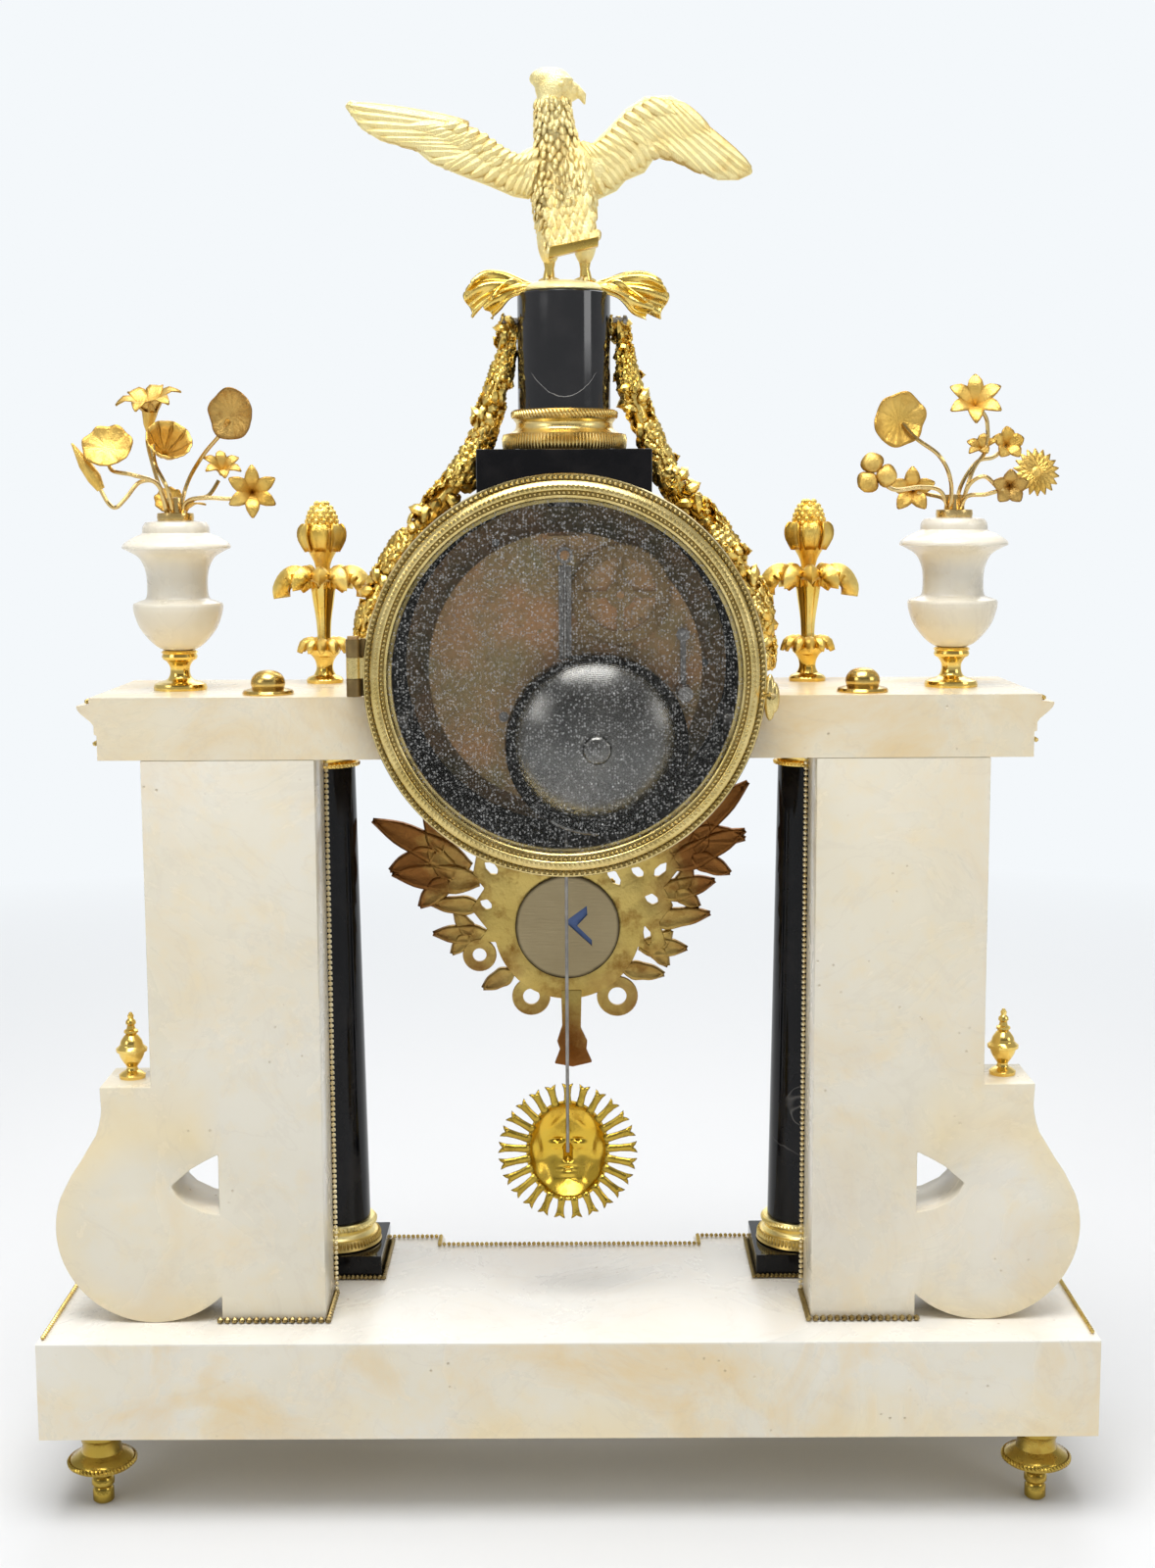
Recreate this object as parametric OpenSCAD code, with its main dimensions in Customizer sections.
/* [Base] */
// Width of the marble base
base_w = 420; // [410:1:440]
// Depth of the marble base
base_d = 120; // [118:1:130]
// Height of the marble base
base_h = 39.5; // [32:0.5:48]
// Width of the recess in the base's front edge
recess_w = 112; // [90:1:112]
// Depth of the recess in the base's front edge
recess_d = 10; // [6:0.5:12]
// Height of the turned feet
foot_h = 35; // [30:0.5:42]
// Radius of a foot's collar
foot_r = 14; // [11:0.5:16]
// Distance of a foot's centre from the edges of the base
foot_inset = 20; // [17:0.5:26]

/* [Pilasters] */
// Distance from the middle to a pilaster's inner side
pil_in = 98; // [94:0.5:100]
// Width of a pilaster above its volute
pil_w = 68; // [64:0.5:72]
// Width of a pilaster's foot
pil_foot_w = 42; // [38:0.5:46]
// Thickness of the pilaster slabs
pil_t = 30; // [26:0.5:34]
// Height of the pilasters and of the columns with their mounts
pil_h = 229; // [215:1:245]
// Set-back of the pilasters from the rear of the base
pil_set = 22; // [19:0.5:24]
// Radius of a volute
volute_r = 39; // [37:0.5:41]
// Height of the ledge on a volute
ledge_h = 98; // [94:0.5:104]
// Reach of the ledge past the pilaster's outer side
ledge_w = 20.5; // [18:0.5:24]

/* [Columns] */
// Distance from the middle to a column's axis
col_x = 101.5; // [98:0.5:105]
// Set-back of the columns' axes from the front of the base
col_set = 29.5; // [28:0.5:31]
// Radius of a column at its foot
col_r_low = 15; // [13:0.5:16]
// Radius of a column at its top
col_r_top = 12; // [10:0.5:13]
// Side of the square column plinths
plinth_w = 43; // [41:0.5:46]
// Height of the square column plinths
plinth_h = 10; // [8:0.5:13]
// Height of the gilt column bases
col_base_h = 11; // [9:0.5:14]
// Height of the gilt capitals
capital_h = 10.5; // [9:0.5:14]
// Radius of the tie rods
rod_r = 3; // [2.5:0.25:3.5]

/* [Entablature] */
// Half length of the entablature under its moulding
ent_half = 182.5; // [178:0.5:186]
// Height of the entablature
ent_h = 24.5; // [22:0.5:30]
// Reach of the entablature's front face past the columns' axes
ent_over = 14; // [12.5:0.5:15.5]
// Reach of the cornice moulding
cornice = 7.5; // [6:0.5:8]

/* [Drum] */
// Outer radius of the drum
drum_r = 73; // [72.5:0.5:74]
// Wall of the drum
drum_wall = 2; // [1.5:0.25:2]
// Length of the drum
drum_len = 88; // [88:0.5:90]
// Height of the drum's axis above the entablature
axis_lift = 8; // [6:0.5:12]
// Outer radius of the two bezels
bezel_r = 77.5; // [76:0.5:78]
// Thickness of the glasses
glass_t = 2; // [1.5:0.25:2]

/* [Top] */
// Width of the black pedestal on the drum
pedestal_w = 68; // [60:1:74]
// Depth of the black pedestal
pedestal_d = 60; // [52:1:70]
// Height of the black pedestal above the drum
pedestal_h = 14; // [10:0.5:18]
// Height of the gilt moulding under the short column
moulding_h = 16; // [13:0.5:20]
// Radius of the short column
stub_r = 18.5; // [16:0.5:20]
// Height of the short column
stub_h = 45.5; // [40:0.5:52]
// Width across the eagle's wings
wing_span = 160; // [140:1:180]

/* [Ornaments] */
// Distance from the middle to a vase's axis
vase_x = 156.5; // [152:0.5:160]
// Height of a marble vase
vase_h = 52; // [46:0.5:60]
// Radius of a vase at its rim
vase_r = 21.5; // [19:0.5:24]
// Height of a vase's gilt socle
socle_h = 16; // [13:0.5:20]
// Height of a pinecone finial
finial_h = 75; // [66:1:84]
// Distance from the middle to a domed nut
nut_x = 117.5; // [112:0.5:124]
// Radius of a domed nut
nut_r = 10; // [8:0.5:11]
// Height of a small urn finial on a volute
urn_h = 27; // [22:0.5:32]
// Width of the gilt bead mouldings
bead_w = 2.4; // [2:0.1:2.8]

/* [Movement] */
// Radius of the movement's rear plate
plate_r = 55; // [54:0.5:57]
// Radius of the bell
bell_r = 36.5; // [34:0.5:37]
// Length of the pendulum from its pin to the middle of the bob
pendulum_l = 242; // [232:1:246]
// Radius of the pendulum bob at its ray tips
bob_r = 27.4; // [24:0.2:30]
// Radius of the pendulum rod
pendulum_r = 0.7; // [0.5:0.05:0.8]
// Running clearance of pivots in their bores
run_fit = 0.05; // [0.03:0.01:0.08]

/* [Hidden] */
$fn = 64;

// Colours of the stone, the gilding and the works
marble = [0.93, 0.90, 0.82];
black = [0.07, 0.07, 0.08];
gilt = [0.86, 0.66, 0.22];
brass = [0.72, 0.56, 0.26];
steel = [0.45, 0.46, 0.48];

// Heights of the main levels
base_top = foot_h + base_h;
ent_bot = base_top + pil_h;
ent_top = ent_bot + ent_h;
axis_z = ent_top + axis_lift;
pedestal_top = axis_z + drum_r + pedestal_h;
stub_bot = pedestal_top + moulding_h;
stub_top = stub_bot + stub_h;

// Depths of the main planes, with the front at minus Y
pil_rear = base_d / 2 - pil_set;
pil_mid = pil_rear - pil_t / 2;
pil_front = pil_rear - pil_t;
col_front = base_d / 2 - col_set;
ent_front = col_front + ent_over;
drum_end = drum_len / 2;
drum_in = drum_r - drum_wall;
eps = 0.01;
hole_gap = 0.2;

// Stations of the movement along Y
front_plate_y = -31;
front_plate_in = -28;
back_plate_in = 5;
back_plate_y = 8;
dial_y = -40;
dial_t = 1.6;
dial_r = 67.5;
dial_hole_r = 3.6;
pendulum_y = 21.5;
bell_y = 25;
bell_deep = 17;

// Teeth of the wheels
pressure = 28;
backlash = 0.05;

// Distance between two meshing wheels, and the third corner of a triangle from two corners
function mesh_gap(m, a, b) = m * (a + b) / 2;
function corner(a, b, ra, rb, side) =
  let (d = norm(b - a), u = (b - a) / d, s = (ra * ra - rb * rb + d * d) / (2 * d))
  a + u * s + side * sqrt(ra * ra - s * s) * [-u[1], u[0]];
function bearing(a, b) = atan2(b[1] - a[1], b[0] - a[0]);
function polar(r, a) = [r * cos(a), r * sin(a)];

// Turn of a wheel that sets its gaps on the teeth of the wheel that it meshes with
function mesh_turn(na, turn_a, line, nb) =
  line + 180 - 360 / nb * (0.5 - na * (line - turn_a) / 360);

// Modules of the tooth pairs
m_great = 0.6;
m_inter = 0.55;
m_centre = 0.42;
m_third = 0.34;
m_strike = 0.53;
m_pin = 0.4;
m_count = 0.5;
m_hour = 0.5;
m_minute = m_hour * 50 / 48;

// Places of the arbors about the drum's axis
p_centre = [0, 0];
p_going = [25, -19];
p_strike = [-25, -19];
p_inter = corner(p_centre, p_going, mesh_gap(m_inter, 60, 10), mesh_gap(m_great, 72, 12), -1);
p_escape = [0, 30];
p_third = corner(p_centre, p_escape, mesh_gap(m_centre, 80, 8), mesh_gap(m_third, 96, 8), -1);
p_anchor = [0, 46];
p_motion = [0, mesh_gap(m_hour, 40, 10)];
p_second = p_strike + polar(mesh_gap(m_great, 72, 12), 90);
p_pin = p_second + polar(mesh_gap(m_strike, 48, 8), 110);
p_fly = p_pin + polar(mesh_gap(m_pin, 64, 8), 45);
p_count = p_second + polar(mesh_gap(m_count, 80, 16), 83);
p_hammer = [-47, 14];
p_bell = [-12.3, -28.5];
hammer_line = 150;
hammer_r = 3;
p_head = p_bell + polar(bell_r + hammer_r + 0.8, hammer_line);
pillar_places = [[26, 44], [-26, 44], [12, -49], [-12, -49]];

// Arbor, pivot and barrel sizes
arbor_r = 1.25;
fine_arbor_r = 0.95;
pivot_r = 0.8;
cannon_r = 2.05;
winding_r = 2.5;
winding_pivot_r = 2;
barrel_r = 19.5;
suspension_r = 1;

// Hinges of the two doors
hinge_pin_r = 1.2;
knuckle_r = 2.8;
knuckle_h = 8;
lug_h = 6.8;
lug_gap = 0.2;
rear_hinge = [bezel_r + 3.5, drum_end + 3];
front_hinge = [-bezel_r - 3.5, -drum_end - 6];

// Bars and turned shapes
module rod_y(p, r, y0, y1) {
  translate([p[0], y0, axis_z + p[1]]) rotate([-90, 0, 0]) cylinder(r = r, h = y1 - y0);
}
module plate_y(p, y0, y1) {
  for (i = [0 : $children - 1]) {
    translate([p[0], y1, axis_z + p[1]]) rotate([90, 0, 0]) linear_extrude(y1 - y0) children(i);
  }
}
module turned_y(p, y0) {
  translate([p[0], y0, axis_z + p[1]]) rotate([-90, 0, 0]) rotate_extrude() children();
}
module bar(a, b, r) {
  d = b - a;
  translate(a) rotate([0, acos(d[2] / norm(d)), atan2(d[1], d[0])]) cylinder(r = r, h = norm(d), $fn = 8);
}
module slab_y(y0, y1) {
  for (i = [0 : $children - 1]) translate([0, y1, 0]) rotate([90, 0, 0]) linear_extrude(y1 - y0) children(i);
}

// Wheels and pinions with involute teeth
function spread(a) = tan(a) * 180 / PI - a;
function half_tooth(n, m, q) =
  90 / n - backlash / (n * m / 2) * 180 / PI + spread(pressure)
  - spread(acos(min(1, n * m / 2 * cos(pressure) / q)));
function tooth(n, m) =
  let (
    r = n * m / 2, rb = r * cos(pressure), rf = r - 1.05 * m, ra = r + 0.8 * m,
    r0 = max(rb, rf), r1 = (r0 + ra) / 2,
    h0 = half_tooth(n, m, r0), h1 = half_tooth(n, m, r1), h2 = half_tooth(n, m, ra),
    flank = [[r0, -h0], [r1, -h1], [ra, -h2], [ra, h2], [r1, h1], [r0, h0]]
  )
  rf < rb ? concat([[rf, -h0]], flank, [[rf, h0]]) : flank;
module gear_shape(n, m) {
  polygon([for (i = [0 : n - 1]) for (q = tooth(n, m)) polar(q[0], q[1] + i * 360 / n)]);
}
module crossings(r) {
  difference() {
    circle(r = r * 0.8);
    circle(r = r * 0.3);
    square([r * 2, r * 0.14], center = true);
    square([r * 0.14, r * 2], center = true);
  }
}
module gear(p, n, m, y0, y1, turn) {
  plate_y(p, y0, y1) rotate(turn) gear_shape(n, m);
}
module wheel(p, n, m, y0, y1, turn) {
  plate_y(p, y0, y1) difference() {
    rotate(turn) gear_shape(n, m);
    crossings(n * m / 2);
  }
}
module arbor(p, y0, y1, r = arbor_r) {
  rod_y(p, r, y0, y1);
  rod_y(p, pivot_r, front_plate_y, back_plate_y);
}

// Marble base with its counterbored rod holes
module base_plinth() {
  color(marble) difference() {
    translate([-base_w / 2, -base_d / 2, foot_h]) cube([base_w, base_d, base_h]);
    translate([-recess_w / 2, -base_d / 2 - 1, foot_h - 1]) cube([recess_w, recess_d + 1, base_h + 2]);
    rod_places() rod_hole();
    foot_places() translate([0, 0, foot_h - 1]) cylinder(r = foot_stud_r + hole_gap, h = foot_stud_h + 2);
  }
}
rod_head_r = 7;
rod_head_h = 5;
foot_stud_r = 3;
foot_stud_h = 10;
module rod_hole() {
  translate([0, 0, foot_h - 1]) cylinder(r = rod_r + hole_gap, h = base_h + 2);
  translate([0, 0, foot_h - 1]) cylinder(r = rod_head_r + 1, h = rod_head_h + 3);
}
module rod_places() {
  for (s = [1, -1]) {
    translate([s * col_x, -col_front, 0]) children();
    translate([s * nut_x, pil_mid, 0]) children();
  }
}
module foot_places() {
  for (sx = [1, -1]) for (sy = [1, -1]) {
    translate([sx * (base_w / 2 - foot_inset), sy * (base_d / 2 - foot_inset), 0]) children();
  }
}

// Turned brass feet, each with a stud into the base
module feet() {
  color(gilt) foot_places() rotate_extrude() polygon([
    [0, 0], [4.4, 0], [4.8, 2], [4.2, 9], [5.2, 11], [foot_r - 3, foot_h * 0.4],
    [foot_r, foot_h * 0.46], [foot_r, foot_h * 0.54], [foot_r - 3, foot_h * 0.6],
    [8, foot_h * 0.66], [7, foot_h * 0.8], [9.5, foot_h * 0.9], [9.5, foot_h],
    [foot_stud_r, foot_h], [foot_stud_r, foot_h + foot_stud_h], [0, foot_h + foot_stud_h]
  ]);
}

// Pilaster and volute, sawn from one slab
volute_x = pil_in + pil_w + 1;
foot_edge = pil_in + pil_foot_w;
ledge_x = pil_in + pil_w + ledge_w;
eye_top = ledge_h - 28;
module volute_neck() {
  polygon([
    [foot_edge - 1, eye_top - 1], [foot_edge - 1, ledge_h], [ledge_x, ledge_h], [ledge_x - 0.4, ledge_h - 9],
    [ledge_x + 0.8, ledge_h - 16], [ledge_x + 4.6, ledge_h - 24],
    [volute_x + volute_r * 0.82, volute_r * 1.58], [volute_x + volute_r * 0.94, volute_r * 1.34],
    [volute_x, volute_r], [foot_edge - 1, volute_r]
  ]);
}
module volute_eye() {
  polygon([
    [foot_edge, eye_top], [foot_edge + 11, ledge_h - 34], [foot_edge + 19, ledge_h - 41],
    [foot_edge + 14, volute_r + 11], [foot_edge + 7, volute_r + 7.5], [foot_edge, volute_r + 6]
  ]);
}
module pilaster() {
  difference() {
    translate([0, 0, base_top]) slab_y(pil_front, pil_rear) {
      translate([pil_in, 0]) square([pil_foot_w, pil_h]);
      translate([pil_in, eye_top]) square([pil_w, pil_h - eye_top]);
      translate([volute_x, volute_r]) circle(r = volute_r);
      volute_neck();
    }
    translate([0, 0, base_top]) slab_y(pil_front - 1, pil_rear + 1) volute_eye();
    translate([nut_x, pil_mid, base_top - 1]) cylinder(r = rod_r + hole_gap, h = pil_h + 2);
    translate([urn_x, pil_mid, base_top + ledge_h - urn_spigot_h - 1])
      cylinder(r = urn_spigot_r + hole_gap, h = urn_spigot_h + 2);
  }
}
module left_pilaster() { color(marble) mirror([1, 0, 0]) pilaster(); }
module right_pilaster() { color(marble) pilaster(); }

// Black square plinths, gilt bases, black shafts and gilt capitals of the two columns
module column_places() {
  for (s = [1, -1]) translate([s * col_x, -col_front, base_top]) children();
}
module column_plinths() {
  color(black) column_places() difference() {
    translate([-plinth_w / 2, -plinth_w / 2, 0]) cube([plinth_w, plinth_w, plinth_h]);
    translate([0, 0, -1]) cylinder(r = rod_r + hole_gap, h = plinth_h + 2);
  }
}
module column_bases() {
  h = col_base_h;
  rod_hole_r = rod_r + hole_gap;
  color(gilt) column_places() translate([0, 0, plinth_h]) rotate_extrude() polygon([
    [rod_hole_r, 0], [col_r_low + 4.6, 0], [col_r_low + 5.2, h * 0.2], [col_r_low + 4.6, h * 0.42],
    [col_r_low + 2.2, h * 0.5], [col_r_low + 1.4, h * 0.62], [col_r_low + 2, h * 0.72],
    [col_r_low + 2.6, h * 0.86], [col_r_low + 2, h], [rod_hole_r, h]
  ]);
}
shaft_bot = plinth_h + col_base_h;
shaft_h = pil_h - shaft_bot - capital_h;
module columns() {
  color(black) column_places() translate([0, 0, shaft_bot]) difference() {
    cylinder(r1 = col_r_low, r2 = col_r_top, h = shaft_h);
    translate([0, 0, -1]) cylinder(r = rod_r + hole_gap, h = shaft_h + 2);
  }
}
abacus_h = 3.2;
module column_capitals() {
  h = capital_h - abacus_h;
  abacus = col_r_top * 2 + 6;
  color(gilt) column_places() translate([0, 0, shaft_bot + shaft_h]) difference() {
    union() {
      rotate_extrude() polygon([
        [0, 0], [col_r_top + 1.6, 0], [col_r_top + 1.8, h * 0.2], [col_r_top + 0.4, h * 0.32],
        [col_r_top + 0.4, h * 0.5], [col_r_top + 2.8, h], [0, h]
      ]);
      translate([-abacus / 2, -abacus / 2, h]) cube([abacus, abacus, abacus_h]);
    }
    translate([0, 0, -1]) cylinder(r = rod_r + hole_gap, h = capital_h + 2);
  }
}

// Entablature blocks, hollowed to the drum and cut back round the front bezel
function cornice_line(z) =
  z < 0.42 ? 0
  : z < 0.55 ? cornice * 0.14
  : z < 0.86 ? cornice * (0.14 + 0.86 * pow(sin((z - 0.55) / 0.31 * 90), 1.6))
  : z < bead_step - 0.01 ? cornice : cornice * 0.35;
bead_step = 0.895;
cornice_steps = [0, 0.4, 0.42, 0.54, 0.56, 0.62, 0.68, 0.74, 0.8, 0.85, bead_step - 0.02, bead_step, 1];
module moulded(reach) {
  polygon(concat(
    [[-reach * 2, 0]],
    [for (z = cornice_steps) [reach + cornice_line(z), z * ent_h]],
    [[-reach * 2, ent_h]]
  ));
}
bezel_room = 1.5;
module entablature() {
  difference() {
    intersection() {
      translate([0, 0, ent_bot]) slab_y(-base_d / 2, pil_rear) moulded(ent_half);
      translate([0, 0, ent_bot]) rotate([0, 0, -90]) slab_y(0, ent_half + cornice + 1) moulded(ent_front);
      translate([0, -base_d, ent_bot]) cube([base_w, base_d * 2, ent_h]);
    }
    rod_y([0, 0], drum_r, -base_d, base_d);
    rod_y([0, 0], bezel_r + bezel_room, -base_d, -drum_end + 0.5);
    translate([col_x, -col_front, ent_bot - 1]) cylinder(r = rod_r + hole_gap, h = ent_h + 2);
    translate([nut_x, pil_mid, ent_bot - 1]) cylinder(r = rod_r + hole_gap, h = ent_h + 2);
    translate([vase_x, 0, ent_top - spigot_h - 1]) cylinder(r = spigot_r + hole_gap, h = spigot_h + 2);
    drum_screw_places() drum_screw_hole();
  }
}
module left_entablature() { color(marble) mirror([1, 0, 0]) entablature(); }
module right_entablature() { color(marble) entablature(); }

// Screws from inside the drum into the entablature
drum_screw_r = 1.8;
drum_screw_l = 18;
drum_screw_z = -20;
drum_screw_y = 16;
module drum_screw_places() {
  for (y = [drum_screw_y, -drum_screw_y]) {
    translate([drum_in * cos(asin(-drum_screw_z / drum_in)), y, axis_z + drum_screw_z]) children();
  }
}
module drum_screw_hole() {
  translate([-6, 0, 0]) rotate([0, 90, 0]) cylinder(r = drum_screw_r + hole_gap / 2, h = drum_screw_l + 8);
}
module drum_screw(l, r) {
  translate([-5, 0, 0]) rotate([0, 90, 0]) cylinder(r = r, h = l);
}

// Rods, domed nuts and finials that clamp base, columns, pilasters and entablature together
module tie_rods() {
  color(steel) {
    rod_places() {
      translate([0, 0, foot_h + 2]) cylinder(r = rod_head_r, h = rod_head_h, $fn = 6);
      translate([0, 0, foot_h + 2]) cylinder(r = rod_r, h = ent_top + nut_thread - foot_h - 2);
    }
    top_rod();
  }
}
nut_thread = 6;
top_nut_r = 7;
module top_rod() {
  intersection() {
    translate([0, 0, axis_z + drum_in - 6]) cylinder(r = top_nut_r, h = 8);
    rod_y([0, 0], drum_in, -base_d, base_d);
  }
  translate([0, 0, axis_z + drum_in - 4]) cylinder(r = rod_r, h = stub_top + 3 - axis_z - drum_in + 4);
}
module dome_nuts() {
  color(gilt) for (s = [1, -1]) translate([s * nut_x, pil_mid, ent_top]) difference() {
    rotate_extrude() polygon(concat(
      [[0, 0], [nut_r, 0], [nut_r, 1], [nut_r - 1.4, 2], [nut_r * 0.64, 2.6]],
      [for (a = [0 : 15 : 75]) [nut_r * 0.64 * cos(a), 2.6 + 7 * sin(a)]],
      [[0, 9.6]]
    ));
    translate([0, 0, -1]) cylinder(r = rod_r + run_fit, h = nut_thread + 1.2);
  }
}
module pinecone_finials() {
  h = finial_h;
  color(gilt) for (s = [1, -1]) translate([s * col_x, -col_front, ent_top]) difference() {
    rotate_extrude() polygon([
      [0, 0], [8, 0], [8, 2], [5.2, 4], [4.4, 7], [6.6, h * 0.19], [5, h * 0.23], [4.4, h * 0.28],
      [6.6, h * 0.5], [7, h * 0.54], [14, h * 0.56], [18.5, h * 0.52], [19.5, h * 0.55], [15, h * 0.64],
      [9, h * 0.68], [6.5, h * 0.72], [8.6, h * 0.78], [8.2, h * 0.86], [5.4, h * 0.95], [1.5, h], [0, h]
    ]);
    translate([0, 0, -1]) cylinder(r = rod_r + run_fit, h = nut_thread + 1.2);
  }
}

// Small urn finials, each with a spigot into a volute's ledge
urn_spigot_r = 1.5;
urn_spigot_h = 8;
urn_x = pil_in + pil_w + ledge_w / 2;
module volute_finials() {
  h = urn_h;
  color(gilt) for (s = [1, -1]) translate([s * urn_x, pil_mid, base_top + ledge_h]) rotate_extrude() polygon([
    [0, -urn_spigot_h], [urn_spigot_r, -urn_spigot_h], [urn_spigot_r, 0], [4.6, 0], [4.6, 1.6], [2.2, 3.4],
    [1.8, h * 0.2], [4.2, h * 0.32], [5.4, h * 0.46], [5.6, h * 0.52], [4.4, h * 0.6], [4.2, h * 0.66],
    [5, h * 0.72], [3.6, h * 0.8], [1.6, h * 0.86], [1.9, h * 0.93], [0.8, h], [0, h]
  ]);
}

// Marble vases on gilt socles, with gilt flowers on wire stems
spigot_r = 2.5;
spigot_h = 8;
mouth_r = 6;
mouth_h = 10;
module vase_places() {
  for (s = [1, -1]) translate([s * vase_x, 0, ent_top]) children();
}
module vases() {
  h = vase_h;
  r = vase_r;
  color(marble) vase_places() translate([0, 0, socle_h]) difference() {
    rotate_extrude() polygon([
      [0, 0], [7, 0], [12, h * 0.1], [16, h * 0.22], [17.6, h * 0.33], [16.8, h * 0.355], [12.6, h * 0.37],
      [12, h * 0.46], [12.4, h * 0.56], [14.4, h * 0.66], [r * 0.86, h * 0.72], [r, h * 0.755],
      [r * 0.98, h * 0.8], [r * 0.8, h * 0.86], [13, h * 0.9], [12.6, h], [0, h]
    ]);
    translate([0, 0, -1]) cylinder(r = spigot_r + hole_gap, h = spigot_h + 2);
    translate([0, 0, h - mouth_h]) cylinder(r = mouth_r + hole_gap, h = mouth_h + 1);
  }
}
module vase_socles() {
  h = socle_h;
  color(gilt) vase_places() rotate_extrude() polygon([
    [0, -spigot_h], [spigot_r, -spigot_h], [spigot_r, 0], [10.5, 0], [10.5, 2.6], [9.6, 3.4], [5.4, 4.2],
    [4, h * 0.44], [4.2, h * 0.68], [6.4, h * 0.82], [7.2, h * 0.92], [6.6, h], [spigot_r, h],
    [spigot_r, h + spigot_h], [0, h + spigot_h]
  ]);
}
// Each flower is its knee on the stem, its head's place and its head's radius, from the vase's mouth
right_flowers = [
  [[11, -8, 34], [8.5, -5, 46], 12], [[10, 12, 17], [25, 9, 29], 10], [[20, 4, 8], [35, 12, 22], 5],
  [[2, 14, 18], [1.5, 6, 33], 9], [[-6, -10, 20], [-21, -7, 40], 10.5], [[-12, -4, 12], [-17, -11, 24], 8],
  [[-14, 8, 10], [-31, 7, 11], 10], [[3, -8, 6], [5, -14, 10], 6]
];
left_flowers = [
  [[-14, -8, 26], [-9, -6, 45], 12], [[8, 10, 20], [24, 5, 38], 11], [[16, 3, 13], [33, 8, 17], 9],
  [[6, -8, 10], [15, -13, 9], 9], [[-12, 2, 20], [-24, -10, 29], 6], [[-14, 12, 14], [-31, 7, 16], 10],
  [[-5, 14, 10], [-21, 14, 12], 6]
];
collar_h = 3;
collar_r = mouth_r + 1.4;
stem_r = 0.9;
stem_ring = 4.8;
head_t = 3;
module bouquet(flowers) {
  translate([0, 0, -mouth_h]) cylinder(r = mouth_r, h = mouth_h);
  cylinder(r = collar_r, h = collar_h);
  for (f = flowers) {
    foot = [f[0][0], f[0][1], 0] * stem_ring / norm([f[0][0], f[0][1]]) + [0, 0, collar_h / 3];
    up = (f[0] - foot) / norm(f[0] - foot);
    out = (f[1] - f[0]) / norm(f[1] - f[0]);
    bar(foot, f[0] + up * 0.7, stem_r);
    bar(f[0] - out * 0.5, f[1], stem_r * 0.8);
    translate(f[1] + [0, head_t / 2, 0]) rotate([90, 0, 0]) cylinder(r = f[2], h = head_t);
  }
}
module bouquets() {
  color(gilt) {
    translate([vase_x, 0, ent_top + socle_h + vase_h]) bouquet(right_flowers);
    translate([-vase_x, 0, ent_top + socle_h + vase_h]) bouquet(left_flowers);
  }
}

// Drum with its seat for the movement, its hinge lugs and the slot for the pendulum
seat_w = 4;
seat_t = 3;
slot_w = 26;
slot_l = 9;
module drum_case() {
  color(brass) difference() {
    union() {
      difference() {
        rod_y([0, 0], drum_r, -drum_end, drum_end);
        rod_y([0, 0], drum_in, -drum_end - 1, drum_end + 1);
      }
      difference() {
        rod_y([0, 0], drum_in + eps, front_plate_in, front_plate_in + seat_t);
        rod_y([0, 0], drum_in - seat_w, front_plate_in - 1, front_plate_in + seat_t + 1);
      }
      hinge_lugs(rear_hinge, 1);
      hinge_lugs(front_hinge, -1);
    }
    translate([-slot_w / 2, pendulum_y - slot_l / 2, axis_z - drum_r - 1]) cube([slot_w, slot_l, drum_wall + 10]);
    translate([0, 0, axis_z + drum_in - 2]) cylinder(r = rod_r + hole_gap, h = drum_wall + 4);
    for (s = [0, 1]) mirror([s, 0, 0]) drum_screw_places() drum_screw_hole();
    for (a = seat_screw_angles) rod_y(polar(seat_screw_r, a), seat_hole_r, front_plate_in - 1, front_plate_in + 4);
    for (s = [1, -1]) plaque_screw(s, plaque_hole_r, 4);
  }
}
lug_low = -7;
module hinge_lugs(h, s) {
  for (z = [lug_low, lug_low + lug_h + knuckle_h + 2 * lug_gap]) {
    translate([0, 0, axis_z + z]) hinge_lug(h, s);
  }
}
module hinge_lug(h, s) {
  side = sign(h[0]);
  root_y = s * (drum_end - 4);
  inner = bezel_r + 0.6;
  difference() {
    union() {
      translate([h[0], h[1], 0]) cylinder(r = knuckle_r, h = lug_h);
      box_between([side * inner, root_y, 0], [h[0] + side * knuckle_r, h[1], lug_h]);
      box_between([side * (drum_r - 1.6), root_y, 0], [h[0], s * drum_end, lug_h]);
    }
    translate([h[0], h[1], -1]) cylinder(r = hinge_pin_r + hole_gap / 4, h = lug_h + 2);
    translate([0, 0, 0]) rotate([-90, 0, 0]) translate([0, 0, -base_d]) cylinder(r = drum_in, h = base_d * 2);
  }
}
module box_between(a, b) {
  low = [for (i = [0 : 2]) min(a[i], b[i])];
  high = [for (i = [0 : 2]) max(a[i], b[i])];
  translate(low) cube(high - low);
}
module hinge_pins() {
  top = lug_low + 2 * lug_h + knuckle_h + 2 * lug_gap;
  color(brass) for (h = [rear_hinge, front_hinge]) translate([h[0], h[1], axis_z + lug_low]) {
    cylinder(r = hinge_pin_r, h = top - lug_low + 0.5);
    translate([0, 0, top - lug_low]) cylinder(r = hinge_pin_r + 1, h = 1.2);
  }
}

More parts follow.
